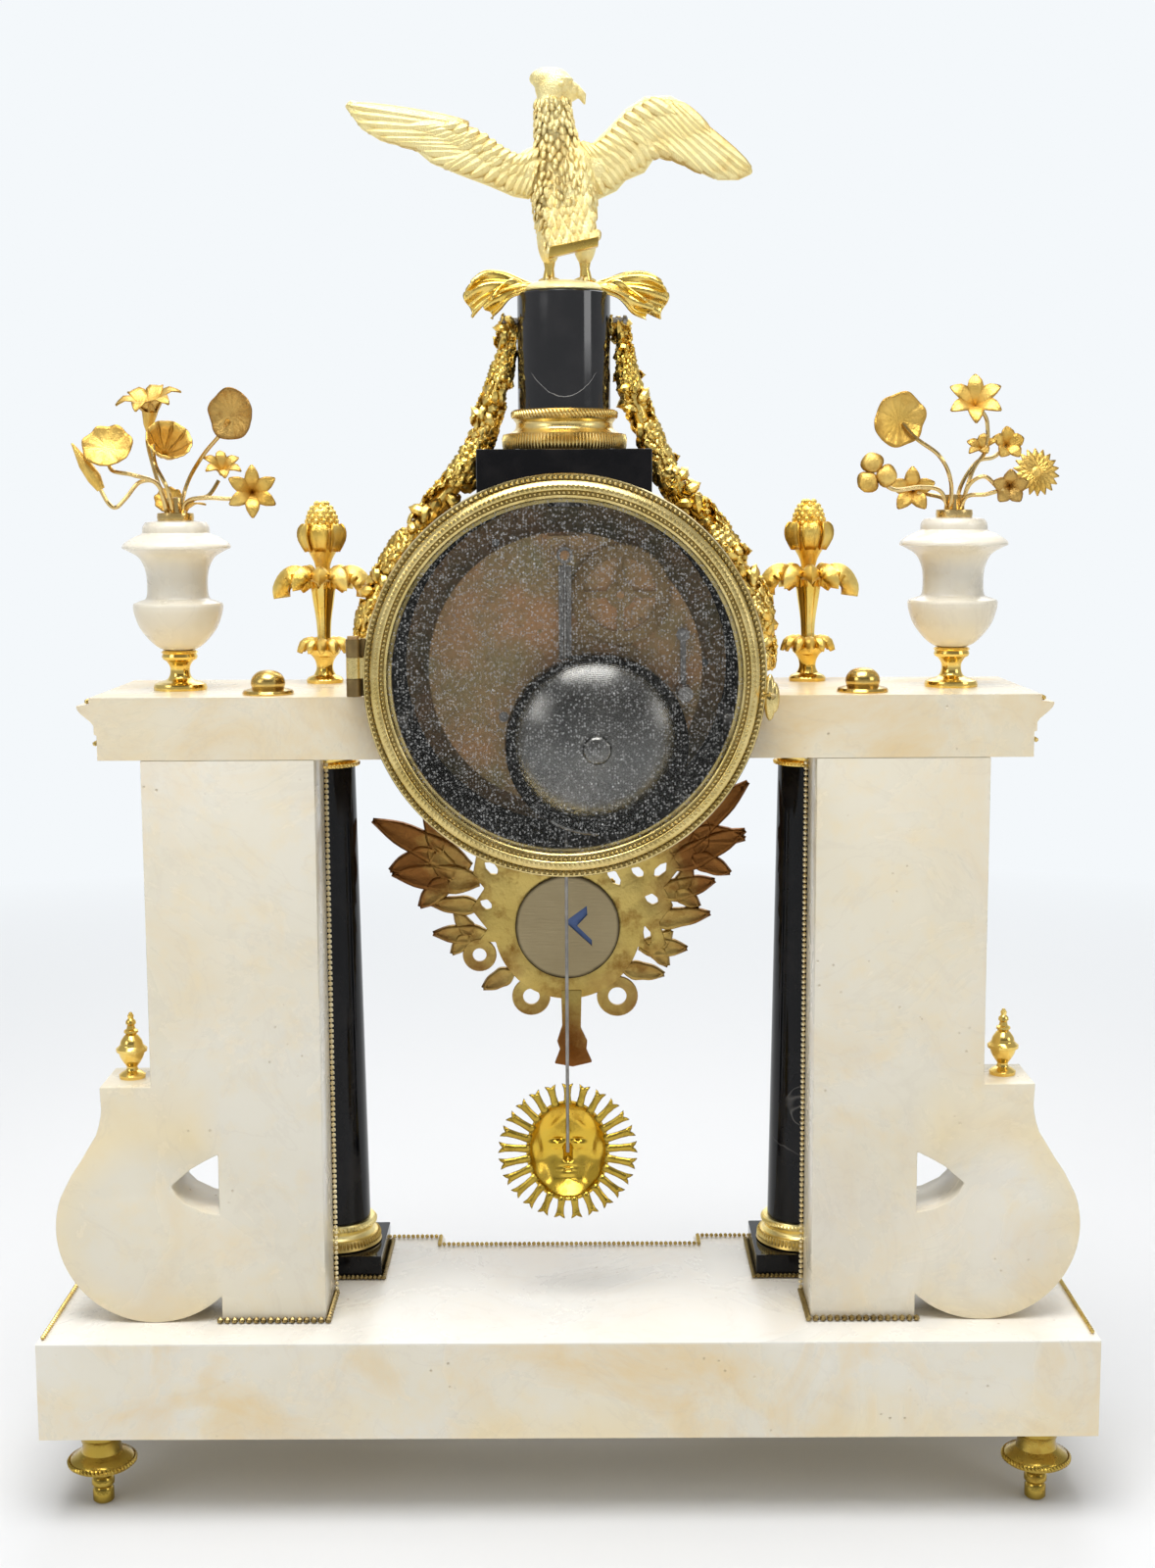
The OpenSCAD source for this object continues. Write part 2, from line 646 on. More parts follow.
// Glazed doors at the rear and the front of the drum
door_gap = 0.3;
bezel_t = 7.5;
glass_seat = 3.2;
glass_r = bezel_r - 8.3;
module bezel_ring() {
  rotate_extrude() polygon([
    [glass_r - 2.7, 0], [bezel_r, 0], [bezel_r, bezel_t * 0.55], [bezel_r - 2.4, bezel_t],
    [bezel_r - 6.6, bezel_t], [glass_r - 1.4, glass_seat + glass_t + 1],
    [glass_r - 1.4, glass_seat + glass_t], [glass_r + 0.3, glass_seat + glass_t], [glass_r + 0.3, glass_seat],
    [glass_r - 2.7, glass_seat]
  ]);
}
module bezel(h, s) {
  knuckle_z = lug_low + lug_h + lug_gap;
  difference() {
    union() {
      translate([0, s * (drum_end + door_gap), axis_z]) rotate([-s * 90, 0, 0]) bezel_ring();
      translate([h[0], h[1], axis_z + knuckle_z]) cylinder(r = knuckle_r, h = knuckle_h);
      translate([0, 0, axis_z + knuckle_z]) box_between(
        [sign(h[0]) * (bezel_r - 2), s * (drum_end + 1), 0], [h[0], h[1] + s * 1.2, knuckle_h]);
    }
    translate([h[0], h[1], axis_z + knuckle_z - 1]) cylinder(r = hinge_pin_r + run_fit, h = knuckle_h + 2);
  }
}
module rear_bezel() { color(gilt) bezel(rear_hinge, 1); }
module front_bezel() { color(gilt) bezel(front_hinge, -1); }
module rear_glass() {
  color([0.35, 0.37, 0.38]) rod_y([0, 0], glass_r, drum_end + door_gap + glass_seat,
    drum_end + door_gap + glass_seat + glass_t);
}
dome_h = 7;
module front_glass() {
  edge = glass_r - 2.2;
  ball = (edge * edge + dome_h * dome_h) / (2 * dome_h);
  steps = [for (i = [0 : 12]) edge * i / 12];
  color([0.75, 0.78, 0.78]) translate([0, -drum_end - door_gap - glass_seat, axis_z]) rotate([90, 0, 0])
    rotate_extrude() polygon(concat(
      [for (q = steps) [q, sqrt(ball * ball - q * q) - ball + dome_h]],
      [[glass_r, 0], [glass_r, glass_t]],
      [for (i = [12 : -1 : 0]) [steps[i], sqrt(ball * ball - steps[i] * steps[i]) - ball + dome_h + glass_t]]
    ));
}

// Screws of the drum, the movement, the plaque and the bell
seat_screw_r = drum_in - 2;
seat_screw_angles = [90, 210, 330];
seat_hole_r = 0.9;
plaque_angle = 24;
plaque_hole_r = 1;
module plaque_screw(s, r, l) {
  translate([0, plaque_tab_y, axis_z]) rotate([0, s * plaque_angle, 0])
    translate([0, 0, -drum_r - tab_t - 1]) cylinder(r = r, h = l + 1);
}
module fasteners() {
  color(steel) {
    for (s = [0, 1]) mirror([s, 0, 0]) {
      drum_screw_places() drum_screw(drum_screw_l + 5, drum_screw_r);
      intersection() {
        drum_screw_places() drum_screw(drum_screw_r * 4, drum_screw_r + 2.2);
        rod_y([0, 0], drum_in, -drum_end, drum_end);
      }
    }
    for (a = seat_screw_angles) {
      rod_y(polar(seat_screw_r, a), seat_hole_r, front_plate_y - 1.4, front_plate_in + 3);
      rod_y(polar(seat_screw_r, a), seat_hole_r + 0.9, front_plate_y - 1.4, front_plate_y);
    }
    for (s = [1, -1]) {
      plaque_screw(s, plaque_hole_r, tab_t + 2);
      translate([0, plaque_tab_y, axis_z]) rotate([0, s * plaque_angle, 0])
        translate([0, 0, -drum_r - tab_t - 1.4]) cylinder(r = 2, h = 1.4 - 0.06);
    }
    bell_nut();
  }
}
bell_nut_t = 3;
module bell_nut() {
  difference() {
    plate_y(p_bell, bell_y + bell_deep, bell_y + bell_deep + bell_nut_t) circle(r = 5, $fn = 6);
    rod_y(p_bell, bell_post_r + run_fit, bell_y, bell_y + bell_deep + bell_nut_t + 1);
  }
}

// Black pedestal saddled on the drum, gilt moulding and black short column
module pedestal_bore(z0, z1) {
  translate([0, 0, z0 - 1]) cylinder(r = rod_r + hole_gap, h = z1 - z0 + 2);
}
module drum_pedestal() {
  color(black) difference() {
    translate([-pedestal_w / 2, -pedestal_d / 2, axis_z + drum_r / 2])
      cube([pedestal_w, pedestal_d, pedestal_top - axis_z - drum_r / 2]);
    rod_y([0, 0], drum_r, -base_d, base_d);
    pedestal_bore(axis_z, pedestal_top);
  }
}
module pedestal_moulding() {
  h = moulding_h;
  color(gilt) difference() {
    translate([0, 0, pedestal_top]) rotate_extrude() polygon([
      [0, 0], [stub_r + 6.4, 0], [stub_r + 6.9, h * 0.2], [stub_r + 6, h * 0.42], [stub_r + 2, h * 0.5],
      [stub_r + 0.8, h * 0.62], [stub_r + 1.2, h * 0.74], [stub_r + 2.4, h * 0.8], [stub_r + 2.6, h * 0.9],
      [stub_r + 2, h], [0, h]
    ]);
    pedestal_bore(pedestal_top, stub_bot);
  }
}
module eagle_column() {
  color(black) difference() {
    translate([0, 0, stub_bot]) cylinder(r = stub_r, h = stub_h);
    pedestal_bore(stub_bot, stub_top);
    for (s = [1, -1]) translate([s * (stub_r - garland_pin_l), 0, garland_top]) rotate([0, s * 90, 0])
      cylinder(r = garland_pin_r + hole_gap / 2, h = garland_pin_l + 2);
  }
}

// Gilt drapery over the short column's top, and the eagle that stands on it
drape_t = 3.4;
module drape_end() {
  slab_y(-9, 9) polygon([
    [0, 0], [stub_r + 0.8, 0], [stub_r + 3, -5.5], [stub_r + 8, -9], [stub_r + 16, -10.5], [stub_r + 22, -9],
    [stub_r + 23, -4], [stub_r + 19, 2], [stub_r + 11, 5], [stub_r, 4], [12.5, drape_t], [0, drape_t]
  ]);
}
module eagle_drapery() {
  color(gilt) difference() {
    translate([0, 0, stub_top]) {
      cylinder(r = stub_r - 2, h = drape_t);
      drape_end();
      mirror([1, 0, 0]) drape_end();
    }
    pedestal_bore(stub_top, stub_top + 2);
  }
}
wing_unit = wing_span / 160;
eagle_foot = stub_top + drape_t;
module eagle() {
  color(gilt) translate([0, 0, eagle_foot]) {
    for (x = [7, -7]) {
      translate([x, 2, 2]) cylinder(r = 2.2, h = 16);
      translate([x, 0, 0]) cylinder(r = 4.4, h = 2.4);
    }
    translate([0, 1, 0]) rotate_extrude() polygon([
      [0, 9], [5, 9.5], [9, 14], [11.6, 22], [12.2, 32], [12, 42], [10, 51], [7.2, 58], [6.6, 66], [7, 74], [0, 74]
    ]);
    translate([2.5, 0, 75.5]) sphere(r = 8.6);
    translate([-3, 0, 74.5]) rotate([0, -104, 0]) cylinder(r1 = 4.4, r2 = 0.6, h = 10);
    translate([7, 0, 77]) rotate([0, 80, 0]) cylinder(r1 = 5.6, r2 = 2.6, h = 6);
    slab_y(9, 14) polygon([[10, 40], [11, 20], [5, 9.5], [-13.5, 13.5], [-11, 40]]);
    slab_y(-3, 3.5) scale([wing_unit, wing_unit]) polygon([
      [4, 40], [12, 50.5], [18, 47.5], [25.4, 53.5], [33, 59], [41, 62], [62, 62.5], [75, 67], [83, 70.5],
      [85.5, 68], [79, 59.5], [71, 55], [58, 51.5], [52, 46.5], [41, 42], [29, 38], [20, 33.5], [10, 31]
    ]);
    slab_y(-3, 3.5) scale([wing_unit, wing_unit]) polygon([
      [-4, 40], [-4, 55], [-11, 53], [-17, 59], [-24.6, 66.5], [-32, 71], [-42, 72], [-48, 68.5], [-55.5, 61],
      [-67, 51], [-73.8, 44.7], [-74.5, 42], [-69, 39.8], [-61, 39.4], [-53.5, 42.8], [-46, 47.4], [-36, 48.2],
      [-32, 42.8], [-24.6, 39.8], [-20.8, 36], [-11, 31]
    ]);
  }
}

// Flower garlands pinned to the short column and hung down the drum's shoulders
garland_pin_r = 1.5;
garland_pin_l = 5;
garland_top = stub_top - 11;
garland_run = [
  [stub_r + 3.4, garland_top, 3], [stub_r + 6, garland_top - 18, 4], [stub_r + 10.5, pedestal_top + 18, 4.6],
  [stub_r + 20.4, pedestal_top - 6, 4.8], [56, axis_z + 60, 5.4], [67.5, axis_z + 44, 5.8],
  [76.2, axis_z + 28, 5.8], [79.6, axis_z + 14, 5], [80, axis_z + 1, 4]
];
module garland() {
  difference() {
    for (i = [0 : len(garland_run) - 2]) {
      a = garland_run[i];
      b = garland_run[i + 1];
      hull() {
        translate([a[0], 0, a[1]]) sphere(r = a[2], $fn = 20);
        translate([b[0], 0, b[1]]) sphere(r = b[2], $fn = 20);
      }
    }
    rod_y([0, 0], drum_r, -base_d, base_d);
    translate([-pedestal_w / 2, -pedestal_d / 2, axis_z]) cube([pedestal_w, pedestal_d, pedestal_top - axis_z]);
    translate([0, 0, stub_bot]) cylinder(r = stub_r, h = stub_h);
  }
  translate([stub_r - garland_pin_l, 0, garland_top]) rotate([0, 90, 0])
    cylinder(r = garland_pin_r, h = garland_pin_l + 4);
}
module garlands() {
  color(gilt) {
    garland();
    mirror([1, 0, 0]) garland();
  }
}

// Cast plaque of leaves and ribbon hung under the front of the drum
plaque_y = -drum_end - 3;
plaque_t = 2.6;
plaque_z = -116;
tab_t = 1.6;
tab_l = 10;
plaque_tab_y = -drum_end + 7;
medallion_r = 20;
backing_r = 22.9;
// Each leaf is its root, its direction and its length, about the drum's axis
plaque_leaves = [
  [[58, -70], 40, 30], [[60, -76], 8, 24], [[56, -82], -10, 26], [[48, -92], -22, 22], [[42, -100], -18, 22],
  [[34, -110], -4, 26], [[26, -123], -20, 28], [[20, -132], -32, 22], [[62, -66], 76, 20], [[40, -92], 40, 22]
];
module leaf(l) {
  w = l * 0.21;
  polygon([[0, -w * 0.5], [l * 0.28, -w], [l * 0.6, -w * 0.82], [l, 0], [l * 0.6, w * 0.82], [l * 0.28, w], [0, w * 0.5]]);
}
module plaque_half() {
  for (f = plaque_leaves) plate_y(f[0], plaque_y, plaque_y + plaque_t) rotate(f[1]) leaf(f[2]);
  plate_y([0, 0], plaque_y, plaque_y + plaque_t) {
    polygon([
      [8, -84.5], [28, -80.5], [44, -71.5], [58, -58.5], [65, -66], [52, -86], [44, -98], [36, -114],
      [24, -130], [8, -128]
    ]);
    translate(bow) circle(r = bow_r);
  }
}
module tassel() {
  polygon([
    [-5, -140], [5, -140], [4.4, -160], [8.4, -167], [7, -172], [10, -178.5], [0, -180.5], [-10, -178.5],
    [-7, -172], [-8.4, -167], [-4.4, -160]
  ]);
}
module swag_plaque() {
  color(brass) difference() {
    union() {
      plaque_half();
      mirror([1, 0, 0]) plaque_half();
      plate_y([0, 0], plaque_y, plaque_y + plaque_t) {
        translate([0, plaque_z]) circle(r = backing_r + plaque_rim);
        tassel();
      }
      for (s = [1, -1]) {
        tab_arc(s, drum_r, tab_t, -drum_end, -drum_end + tab_l);
        tab_arc(s, drum_r, bezel_r + 11 - drum_r, -drum_end, -drum_end + tab_t);
        tab_arc(s, bezel_r + bezel_room, 9.5, plaque_y, -drum_end + tab_t);
      }
    }
    for (s = [1, -1]) {
      plaque_screw(s, plaque_hole_r + hole_gap / 2, tab_t + 2);
      rod_y([s * bow[0], bow[1]], bow_hole_r, plaque_y - 1, plaque_y + plaque_t + 1);
    }
    rod_y([0, plaque_z], medallion_r + hole_gap, plaque_y - 1, plaque_y + plaque_t + 1);
    rod_y([0, 0], bezel_r + bezel_room, plaque_y - 1, plaque_y + plaque_t);
  }
}
module tab_arc(s, r, w, y0, y1) {
  plate_y([0, 0], y0, y1) intersection() {
    difference() {
      circle(r = r + w);
      circle(r = r);
    }
    rotate(-90 + s * plaque_angle) polygon([[0, 0], [100, -9], [100, 9]]);
  }
}
bow = [17, -147];
bow_r = 8.5;
bow_hole_r = 4.6;
plaque_rim = 7;
module medallion() {
  color([0.14, 0.22, 0.48]) rod_y([0, plaque_z], medallion_r, plaque_y - 1.4, plaque_y + plaque_t);
  color(brass) rod_y([0, plaque_z], backing_r, plaque_y + plaque_t + 0.05, plaque_y + plaque_t + 1);
}

// Gilt bead mouldings let into the edges of the marble
bead_h = 1.8;
bead_edge = 3;
module base_outline(inset) {
  w = base_w / 2 - inset;
  f = -base_d / 2 + inset;
  polygon([
    [-w, base_d], [-w, f], [-recess_w / 2 - inset, f], [-recess_w / 2 - inset, f + recess_d],
    [recess_w / 2 + inset, f + recess_d], [recess_w / 2 + inset, f], [w, f], [w, base_d]
  ]);
}
module base_beading() {
  color(gilt) translate([0, 0, base_top]) linear_extrude(bead_h) intersection() {
    difference() {
      base_outline(bead_edge - bead_w);
      base_outline(bead_edge);
    }
    translate([-base_w, -base_d]) square([base_w * 2, base_d * 1.5 - bead_edge]);
  }
}
module pilaster_beading() {
  color(gilt) {
    for (s = [0, 1]) mirror([s, 0, 0]) {
      translate([pil_in - bead_h, pil_front, base_top + bead_w]) cube([bead_h, bead_w, pil_h - bead_w]);
      translate([pil_in - bead_h, pil_front, base_top]) cube([bead_h, pil_t + bead_h, bead_w]);
      translate([pil_in, pil_rear, base_top]) cube([pil_foot_w, bead_h, bead_w]);
    }
    column_places() linear_extrude(bead_w) bead_rope();
  }
}
module bead_rope() {
  difference() {
    square(plinth_w + 2 * bead_h, center = true);
    square(plinth_w, center = true);
  }
}
module bead_course(z, reach) {
  x = ent_half + cornice_line(reach);
  f = ent_front + cornice_line(reach);
  inner = bezel_r + bezel_room + 1;
  translate([0, 0, ent_bot + z]) difference() {
    translate([inner, -f - bead_h, 0]) cube([x + bead_h - inner, pil_rear + f + bead_h, bead_w]);
    translate([inner - 1, -f, -1]) cube([x - inner + 1, pil_rear + f + 1, bead_w + 2]);
  }
}
module entablature_beading() {
  color(gilt) for (s = [0, 1]) mirror([s, 0, 0]) {
    bead_course(ent_h * 0.22, 0.22);
    bead_course(ent_h * bead_step + 0.1, 1);
  }
}

// Enamel dial on its feet, and the two hands at ten past ten
dial_foot_r = 1.5;
dial_foot_places = [polar(58, 60), polar(58, 180), polar(58, 300)];
minute_turn = -60;
hour_turn = -305;
module dial() {
  color([0.95, 0.95, 0.92]) {
    difference() {
      rod_y([0, 0], dial_r, dial_y, dial_y + dial_t);
      rod_y([0, 0], dial_hole_r, dial_y - 1, dial_y + dial_t + 1);
      for (p = [p_going, p_strike]) rod_y(p, dial_hole_r, dial_y - 1, dial_y + dial_t + 1);
    }
    for (p = dial_foot_places) rod_y(p, dial_foot_r, dial_y + dial_t, front_plate_in + 1);
  }
}
module hand(l, w, y, turn, hub_hole) {
  ring = polar(l * 0.56, turn + 90);
  difference() {
    plate_y([0, 0], y - hand_t, y) {
      rotate(turn) polygon([[-w, 0], [-w * 0.55, l * 0.5], [w * 0.55, l * 0.5], [w, 0]]);
      rotate(turn) translate([0, l * 0.56]) circle(r = l * 0.1);
      rotate(turn) polygon([[-w * 0.8, l * 0.63], [0, l], [w * 0.8, l * 0.63]]);
      circle(r = hand_hub_r);
    }
    rod_y(ring, l * 0.055, y - hand_t - 1, y + 1);
    rod_y([0, 0], hub_hole, y - hand_t - 1, y + 1);
  }
}
hour_hand_y = dial_y - 2.6;
minute_hand_y = dial_y - 5;
hand_t = 0.9;
hand_hub_r = 4.2;
hour_hand_l = 38;
hour_hand_w = 2.2;
minute_hand_l = 58;
minute_hand_w = 1.8;
hour_pipe_in = cannon_r + run_fit;
hour_pipe_out = 3;
module hour_hand() {
  color([0.3, 0.22, 0.1]) hand(hour_hand_l, hour_hand_w, hour_hand_y, hour_turn, hour_pipe_out);
}
module minute_hand() {
  color([0.3, 0.22, 0.1]) hand(minute_hand_l, minute_hand_w, minute_hand_y, minute_turn, arbor_r);
}

// Plates and pillars of the movement
plate_pivots = [p_inter, p_third, p_escape, p_second, p_pin, p_fly, p_hammer];
plate_fit = pivot_r + run_fit;
module plate_bores(y0, y1) {
  for (p = plate_pivots) rod_y(p, plate_fit, y0, y1);
  for (p = [p_going, p_strike]) rod_y(p, winding_pivot_r + run_fit, y0, y1);
}
pillar_rivet_r = 1.6;
module front_plate() {
  color(brass) {
    difference() {
      rod_y([0, 0], drum_in - hole_gap, front_plate_y, front_plate_in);
      plate_bores(front_plate_y - 1, front_plate_in + 1);
      rod_y(p_anchor, plate_fit, front_plate_y - 1, front_plate_in + 1);
      rod_y(p_centre, arbor_r + run_fit, front_plate_y - 1, front_plate_in + 1);
      for (p = pillar_places) rod_y(p, pillar_rivet_r + hole_gap / 4, front_plate_y - 1, front_plate_in + 1);
      for (p = dial_foot_places) rod_y(p, dial_foot_r + hole_gap / 2, front_plate_y - 1, front_plate_in + 1);
      for (a = seat_screw_angles) {
        rod_y(polar(seat_screw_r, a), seat_hole_r + hole_gap / 2, front_plate_y - 1, front_plate_in + 1);
      }
    }
    rod_y(p_motion, motion_stud_r, motion_y0 - 0.6, front_plate_y);
  }
}
module back_plate() {
  color(brass) {
    difference() {
      rod_y([0, 0], plate_r, back_plate_in, back_plate_y);
      plate_bores(back_plate_in - 1, back_plate_y + 1);
      rod_y(p_second, arbor_r + 0.6, back_plate_in - 1, back_plate_y + 1);
      rod_y(p_hammer, arbor_r + run_fit, back_plate_in - 1, back_plate_y + 1);
      rod_y(p_centre, plate_fit, back_plate_in - 1, back_plate_y + 1);
      rod_y(p_anchor, arbor_r + 0.6, back_plate_in - 1, back_plate_y + 1);
      for (p = pillar_places) rod_y(p, pillar_rivet_r + hole_gap / 4, back_plate_in - 1, back_plate_y + 1);
    }
    rod_y(p_count, count_stud_r, back_plate_y - eps, count_y1 + 1.2);
    rod_y(p_bell, 4, back_plate_y - eps, bell_y + bell_deep - bell_t);
    rod_y(p_bell, bell_post_r, bell_y, bell_y + bell_deep + bell_nut_t + 0.6);
  }
}
module pillars() {
  color(brass) for (p = pillar_places) {
    turned_y(p, front_plate_in) polygon([
      [0, 0], [3.2, 0], [3.2, 3], [2.2, 5], [2.8, 16.5], [2.2, 28], [3.2, 30],
      [3.2, back_plate_in - front_plate_in], [0, back_plate_in - front_plate_in]
    ]);
    rod_y(p, pillar_rivet_r, front_plate_y, back_plate_y);
  }
}

// Going train, from the mainspring barrel to the escape wheel
great_y = -10.5;
great_t = 2;
barrel_y0 = -26;
strike_great_y = -26;
barrel_y1 = -8.5;
inter_y = -6.5;
centre_y = -1.5;
third_y = -16;
escape_y = 1;
wheel_t = 1.5;
turn_inter = mesh_turn(10, 0, bearing(p_centre, p_inter), 60);
turn_going = mesh_turn(12, 0, bearing(p_inter, p_going), 72);
turn_third = mesh_turn(80, 0, bearing(p_centre, p_third), 8);
turn_escape = mesh_turn(96, 0, bearing(p_third, p_escape), 8);
module barrel(p, y_great, turn) {
  difference() {
    union() {
      rod_y(p, barrel_r, barrel_y0, barrel_y1);
      gear(p, 72, m_great, y_great, y_great + great_t, turn);
    }
    rod_y(p, winding_r + run_fit, barrel_y0 - 1, barrel_y1 + 1);
  }
}
module going_barrel() { color(brass) barrel(p_going, great_y, turn_going); }
module winding_arbors() {
  key = 2.6;
  color(steel) for (p = [p_going, p_strike]) {
    rod_y(p, winding_r, barrel_y0 - 0.6, barrel_y1 + 0.6);
    rod_y(p, winding_pivot_r, front_plate_y - 1, back_plate_y);
    rod_y(p, winding_r, barrel_y1 + 0.6 - eps, back_plate_in - 0.3);
    plate_y(p, dial_y + 0.4, front_plate_y) square(key, center = true);
  }
}
module intermediate_wheel() {
  color(brass) {
    arbor(p_inter, front_plate_in + 0.3, back_plate_in - 0.3);
    gear(p_inter, 12, m_great, great_y - 1.5, inter_y + eps, 0);
    wheel(p_inter, 60, m_inter, inter_y, inter_y + wheel_t, turn_inter);
  }
}
cannon_y0 = -33.4;
cannon_y1 = -31.6;
module centre_wheel() {
  color(brass) {
    rod_y(p_centre, arbor_r, minute_hand_y - hand_t - 0.8, back_plate_in - 0.3);
    rod_y(p_centre, pivot_r, back_plate_in - 1, back_plate_y);
    gear(p_centre, 10, m_inter, inter_y - 1.5, centre_y + eps, 0);
    wheel(p_centre, 80, m_centre, centre_y, centre_y + wheel_t, 0);
    gear(p_centre, 12, m_minute, cannon_y0, cannon_y1, 0);
    rod_y(p_centre, cannon_r, minute_hand_y, cannon_y0 + eps);
  }
}
module third_wheel() {
  color(brass) {
    arbor(p_third, front_plate_in + 0.3, back_plate_in - 0.3);
    gear(p_third, 8, m_centre, centre_y - 2, centre_y + 3.5, turn_third);
    wheel(p_third, 96, m_third, third_y, third_y + 1.2, 0);
  }
}
escape_r = 11;
escape_teeth = 30;
module escape_wheel() {
  pitch = 360 / escape_teeth;
  color(brass) {
    arbor(p_escape, front_plate_in + 0.3, back_plate_in - 0.3, fine_arbor_r);
    gear(p_escape, 8, m_third, third_y - 2, third_y + 3.2, turn_escape);
    plate_y(p_escape, escape_y, escape_y + 1.2) difference() {
      polygon([for (i = [0 : escape_teeth - 1]) for (q = [[0.83, 0], [1, 1], [1, 2], [0.83, 5]])
        polar(escape_r * q[0], i * pitch + q[1])]);
      crossings(escape_r * 0.84);
    }
  }
}

// Pallets on their arbor, with the crutch that holds the pendulum rod
crutch_y = 13;
crutch_t = 1.5;
crutch_low = -9;
fork_gap = 0.6;
fork_t = 1.2;
module pallet_arm() {
  polygon([[0, 48.5], [6, 46.5], [10.8, 40.5], [10.2, 37.9], [9, 38.6], [8.8, 40.2], [5, 44], [0, 44.6]]);
}
module pallet_anchor() {
  color(steel) {
    rod_y(p_anchor, arbor_r, front_plate_in + 0.3, cock_y - 0.3);
    rod_y(p_anchor, pivot_r, front_plate_y, cock_y + cock_t - 0.5);
    plate_y([0, 0], escape_y - 0.4, escape_y + 1.6) {
      pallet_arm();
      mirror([1, 0]) pallet_arm();
      translate(p_anchor) circle(r = 3);
    }
    plate_y([0, 0], crutch_y, crutch_y + crutch_t) {
      translate(p_anchor) circle(r = 3);
      translate([-fork_t - fork_half, crutch_low]) square([2 * (fork_t + fork_half), p_anchor[1] - crutch_low]);
    }
    for (s = [0, 1]) mirror([s, 0, 0]) translate([fork_half, crutch_y, axis_z + crutch_low])
      cube([fork_t, pendulum_y + 1.8 - crutch_y, 3]);
  }
}
fork_half = pendulum_r + fork_gap;

// Cock on the rear plate with the pin that the pendulum hangs from
cock_y = 16;
cock_t = 2.5;
cock_foot = 49.5;
module suspension_cock() {
  color(brass) difference() {
    union() {
      plate_y([0, 0], back_plate_y, cock_y + cock_t) translate([-7, cock_foot]) square([14, 4]);
      plate_y([0, 0], cock_y, cock_y + cock_t) translate([-4, 42]) square([8, cock_foot + 4 - 42]);
      rod_y(p_anchor, suspension_r, cock_y + cock_t - eps, pendulum_y + 3);
      rod_y(p_anchor, suspension_r + 0.9, pendulum_y + 1.4, pendulum_y + 2.4);
    }
    rod_y(p_anchor, plate_fit, cock_y - 1, cock_y + cock_t - 0.3);
  }
}
eye_r = 3.2;
eye_t = 1.8;
bob_t = 1.2;
bob_rays = 25;
bob_z = p_anchor[1] - pendulum_l;
module pendulum_rod() {
  color(steel) difference() {
    union() {
      rod_y(p_anchor, eye_r, pendulum_y - eye_t / 2, pendulum_y + eye_t / 2);
      translate([0, pendulum_y, axis_z + bob_z]) cylinder(r = pendulum_r, h = pendulum_l - 2);
    }
    rod_y(p_anchor, suspension_r + run_fit, pendulum_y - 2, pendulum_y + 2);
  }
}
face_r = 15.5;
face_deep = 9;
module pendulum_bob() {
  ray = 360 / bob_rays;
  back = pendulum_y - pendulum_r;
  color(gilt) {
    plate_y([0, bob_z], back - bob_t, back) difference() {
      polygon([for (i = [0 : bob_rays - 1]) for (q = [[0.68, -4.6], [0.95, -2.4], [1, -3.4], [0.955, 0], [1, 3.4],
        [0.95, 2.4], [0.68, 4.6]]) polar(bob_r * q[0], 90 + i * ray + q[1])]);
      circle(r = face_r - 1);
    }
    turned_y([0, bob_z], back - face_deep) polygon(concat(
      [for (a = [0 : 10 : 90]) [face_r * sin(a), face_deep * (1 - cos(a))]],
      [[face_r - 1.2, face_deep]],
      [for (a = [90 : -10 : 0]) [(face_r - 1.2) * sin(a), 1.2 + (face_deep - 1.2) * (1 - cos(a))]]
    ));
    plate_y([0, bob_z], back - bob_t, back) translate([-1.6, 0]) square([3.2, face_r]);
  }
}

// Motion work behind the dial
motion_stud_r = 1.2;
motion_y0 = -36.2;
minute_wheel_y = -33.3;
hour_wheel_y = -35.6;
hour_wheel_t = 1.2;
turn_minute = mesh_turn(12, 0, bearing(p_centre, p_motion), 36);
turn_hour = mesh_turn(10, 0, bearing(p_motion, p_centre), 40);
module minute_wheel() {
  color(brass) difference() {
    union() {
      gear(p_motion, 36, m_minute, minute_wheel_y, minute_wheel_y + 1.6, turn_minute);
      gear(p_motion, 10, m_hour, motion_y0, minute_wheel_y + eps, 0);
    }
    rod_y(p_motion, motion_stud_r + run_fit, motion_y0 - 1, minute_wheel_y + 3);
  }
}
module hour_wheel() {
  color(brass) difference() {
    union() {
      gear(p_centre, 40, m_hour, hour_wheel_y, hour_wheel_y + hour_wheel_t, turn_hour);
      rod_y(p_centre, hour_pipe_out, hour_hand_y - hand_t - 0.4, hour_wheel_y + eps);
    }
    rod_y(p_centre, hour_pipe_in, hour_hand_y - 3, hour_wheel_y + 3);
  }
}

// Striking train, from its barrel to the fly, with the count wheel, hammer and bell
second_y = -6.5;
pin_y = -14;
count_y0 = 9.2;
count_y1 = 10.7;
count_stud_r = 1.5;
turn_strike = mesh_turn(12, 0, bearing(p_second, p_strike), 72);
turn_pin = mesh_turn(48, 0, bearing(p_second, p_pin), 8);
turn_fly = mesh_turn(64, 0, bearing(p_pin, p_fly), 8);
turn_count = mesh_turn(16, 0, bearing(p_second, p_count), 80);
module strike_barrel() { color(brass) barrel(p_strike, strike_great_y, turn_strike); }
module strike_wheel() {
  color(brass) {
    arbor(p_second, front_plate_in + 0.3, count_y0 + eps);
    gear(p_second, 12, m_great, strike_great_y - 0.6, strike_great_y + 4, 0);
    wheel(p_second, 48, m_strike, second_y, second_y + wheel_t, 0);
    gear(p_second, 16, m_count, count_y0 - 0.3, count_y1 + 0.3, 0);
  }
}
pin_count = 8;
pin_ring = 10.6;
pin_len = 4;
fly_y = -26;
